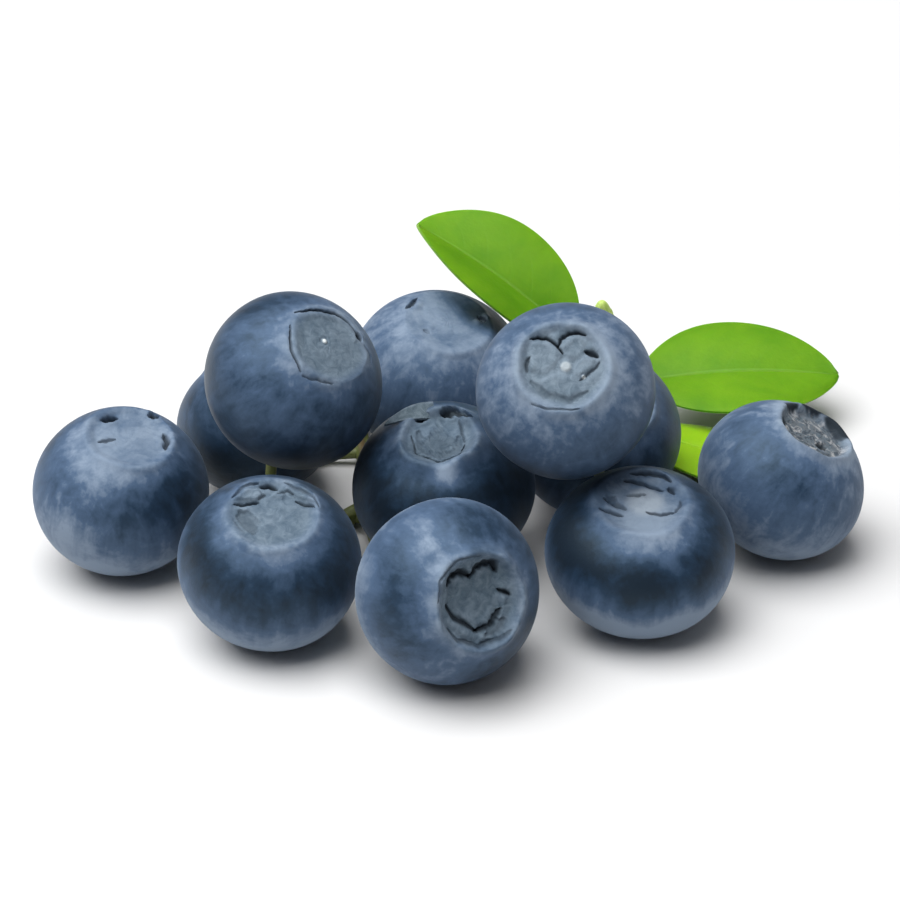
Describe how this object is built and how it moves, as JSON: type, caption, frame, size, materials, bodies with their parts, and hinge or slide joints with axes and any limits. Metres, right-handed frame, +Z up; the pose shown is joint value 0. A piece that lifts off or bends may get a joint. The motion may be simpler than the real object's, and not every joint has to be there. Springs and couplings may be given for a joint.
{
  "type": "blueberry sprig",
  "caption": "Cut blueberry sprig lying on a surface: ripe bloom-dusted berries with open crowns on thin green stalks, and a twig with pointed green leaves.",
  "frame": {"origin": "middle of the footprint, on the surface that the sprig lies on", "axes": "+X along the sprig's greatest length, towards the leafy tip's side; +Y from the front of the heap to the twig behind it; +Z up from the surface"},
  "size_m": [0.0736, 0.058, 0.0274],
  "materials": {
    "berry_skin": "dark blue skin under a pale waxy bloom",
    "leaf_blade": "smooth fresh green, paler beneath",
    "green_stalk": "smooth yellow-green stalk",
    "twig_bark": "fine green-brown bark",
    "bud_scale": "pale green bud scales"
  },
  "bodies": {
    "root": {"twig": "twig_bark", "terminal_bud": "bud_scale", "left_rachis": "green_stalk", "right_rachis": "green_stalk", "berry_01": "berry_skin", "pedicel_01": "green_stalk", "berry_02": "berry_skin", "pedicel_02": "green_stalk", "berry_03": "berry_skin", "pedicel_03": "green_stalk", "berry_04": "berry_skin", "pedicel_04": "green_stalk", "berry_05": "berry_skin", "pedicel_05": "green_stalk", "berry_06": "berry_skin", "pedicel_06": "green_stalk", "berry_07": "berry_skin", "pedicel_07": "green_stalk", "berry_08": "berry_skin", "pedicel_08": "green_stalk", "berry_09": "berry_skin", "pedicel_09": "green_stalk", "berry_10": "berry_skin", "pedicel_10": "green_stalk", "berry_11": "berry_skin", "pedicel_11": "green_stalk", "leaf_upper": "leaf_blade", "leaf_right": "leaf_blade", "leaf_low": "leaf_blade"}
  },
  "joints": []
}
